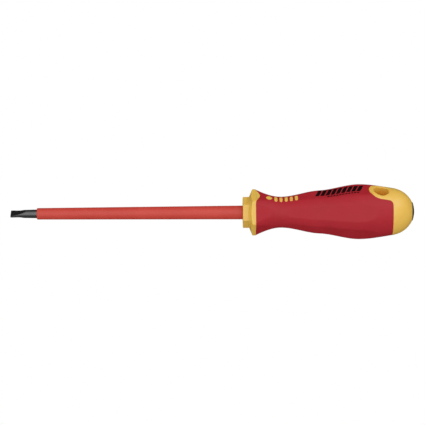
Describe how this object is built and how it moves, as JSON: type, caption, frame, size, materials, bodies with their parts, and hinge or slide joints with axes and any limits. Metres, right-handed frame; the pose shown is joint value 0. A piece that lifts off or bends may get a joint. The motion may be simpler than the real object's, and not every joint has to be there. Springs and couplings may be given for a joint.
{
  "type": "insulated slotted screwdriver",
  "caption": "Slotted screwdriver with an insulated blade, a hexagonal collar and flange, and a soft-grip handle with flats and a hanging hole.",
  "frame": {"origin": "centre of the slotted tip's end face, on the tool's axis", "axes": "+X along the tool's axis from the tip towards the butt; +Z out of the handle flat that is uppermost when the tool lies on the opposite flat; +Y across, so that the hanging hole points between +Z and +Y, 60 degrees from +Z"},
  "size_m": [0.2608, 0.0356, 0.0334],
  "materials": {
    "blade_steel": "satin nickel-plated bar with blackened ground faces at the tip",
    "sleeve_plastic": "satin moulded polyamide",
    "core_plastic": "satin moulded plastic",
    "shell_plastic": "semi-gloss moulded polypropylene",
    "grip_rubber": "fine matt moulded thermoplastic elastomer"
  },
  "bodies": {
    "root": {"blade": "blade_steel", "blade_insulation": "sleeve_plastic", "inner_core": "core_plastic", "handle_shell": "shell_plastic", "soft_grip": "grip_rubber"}
  },
  "joints": []
}
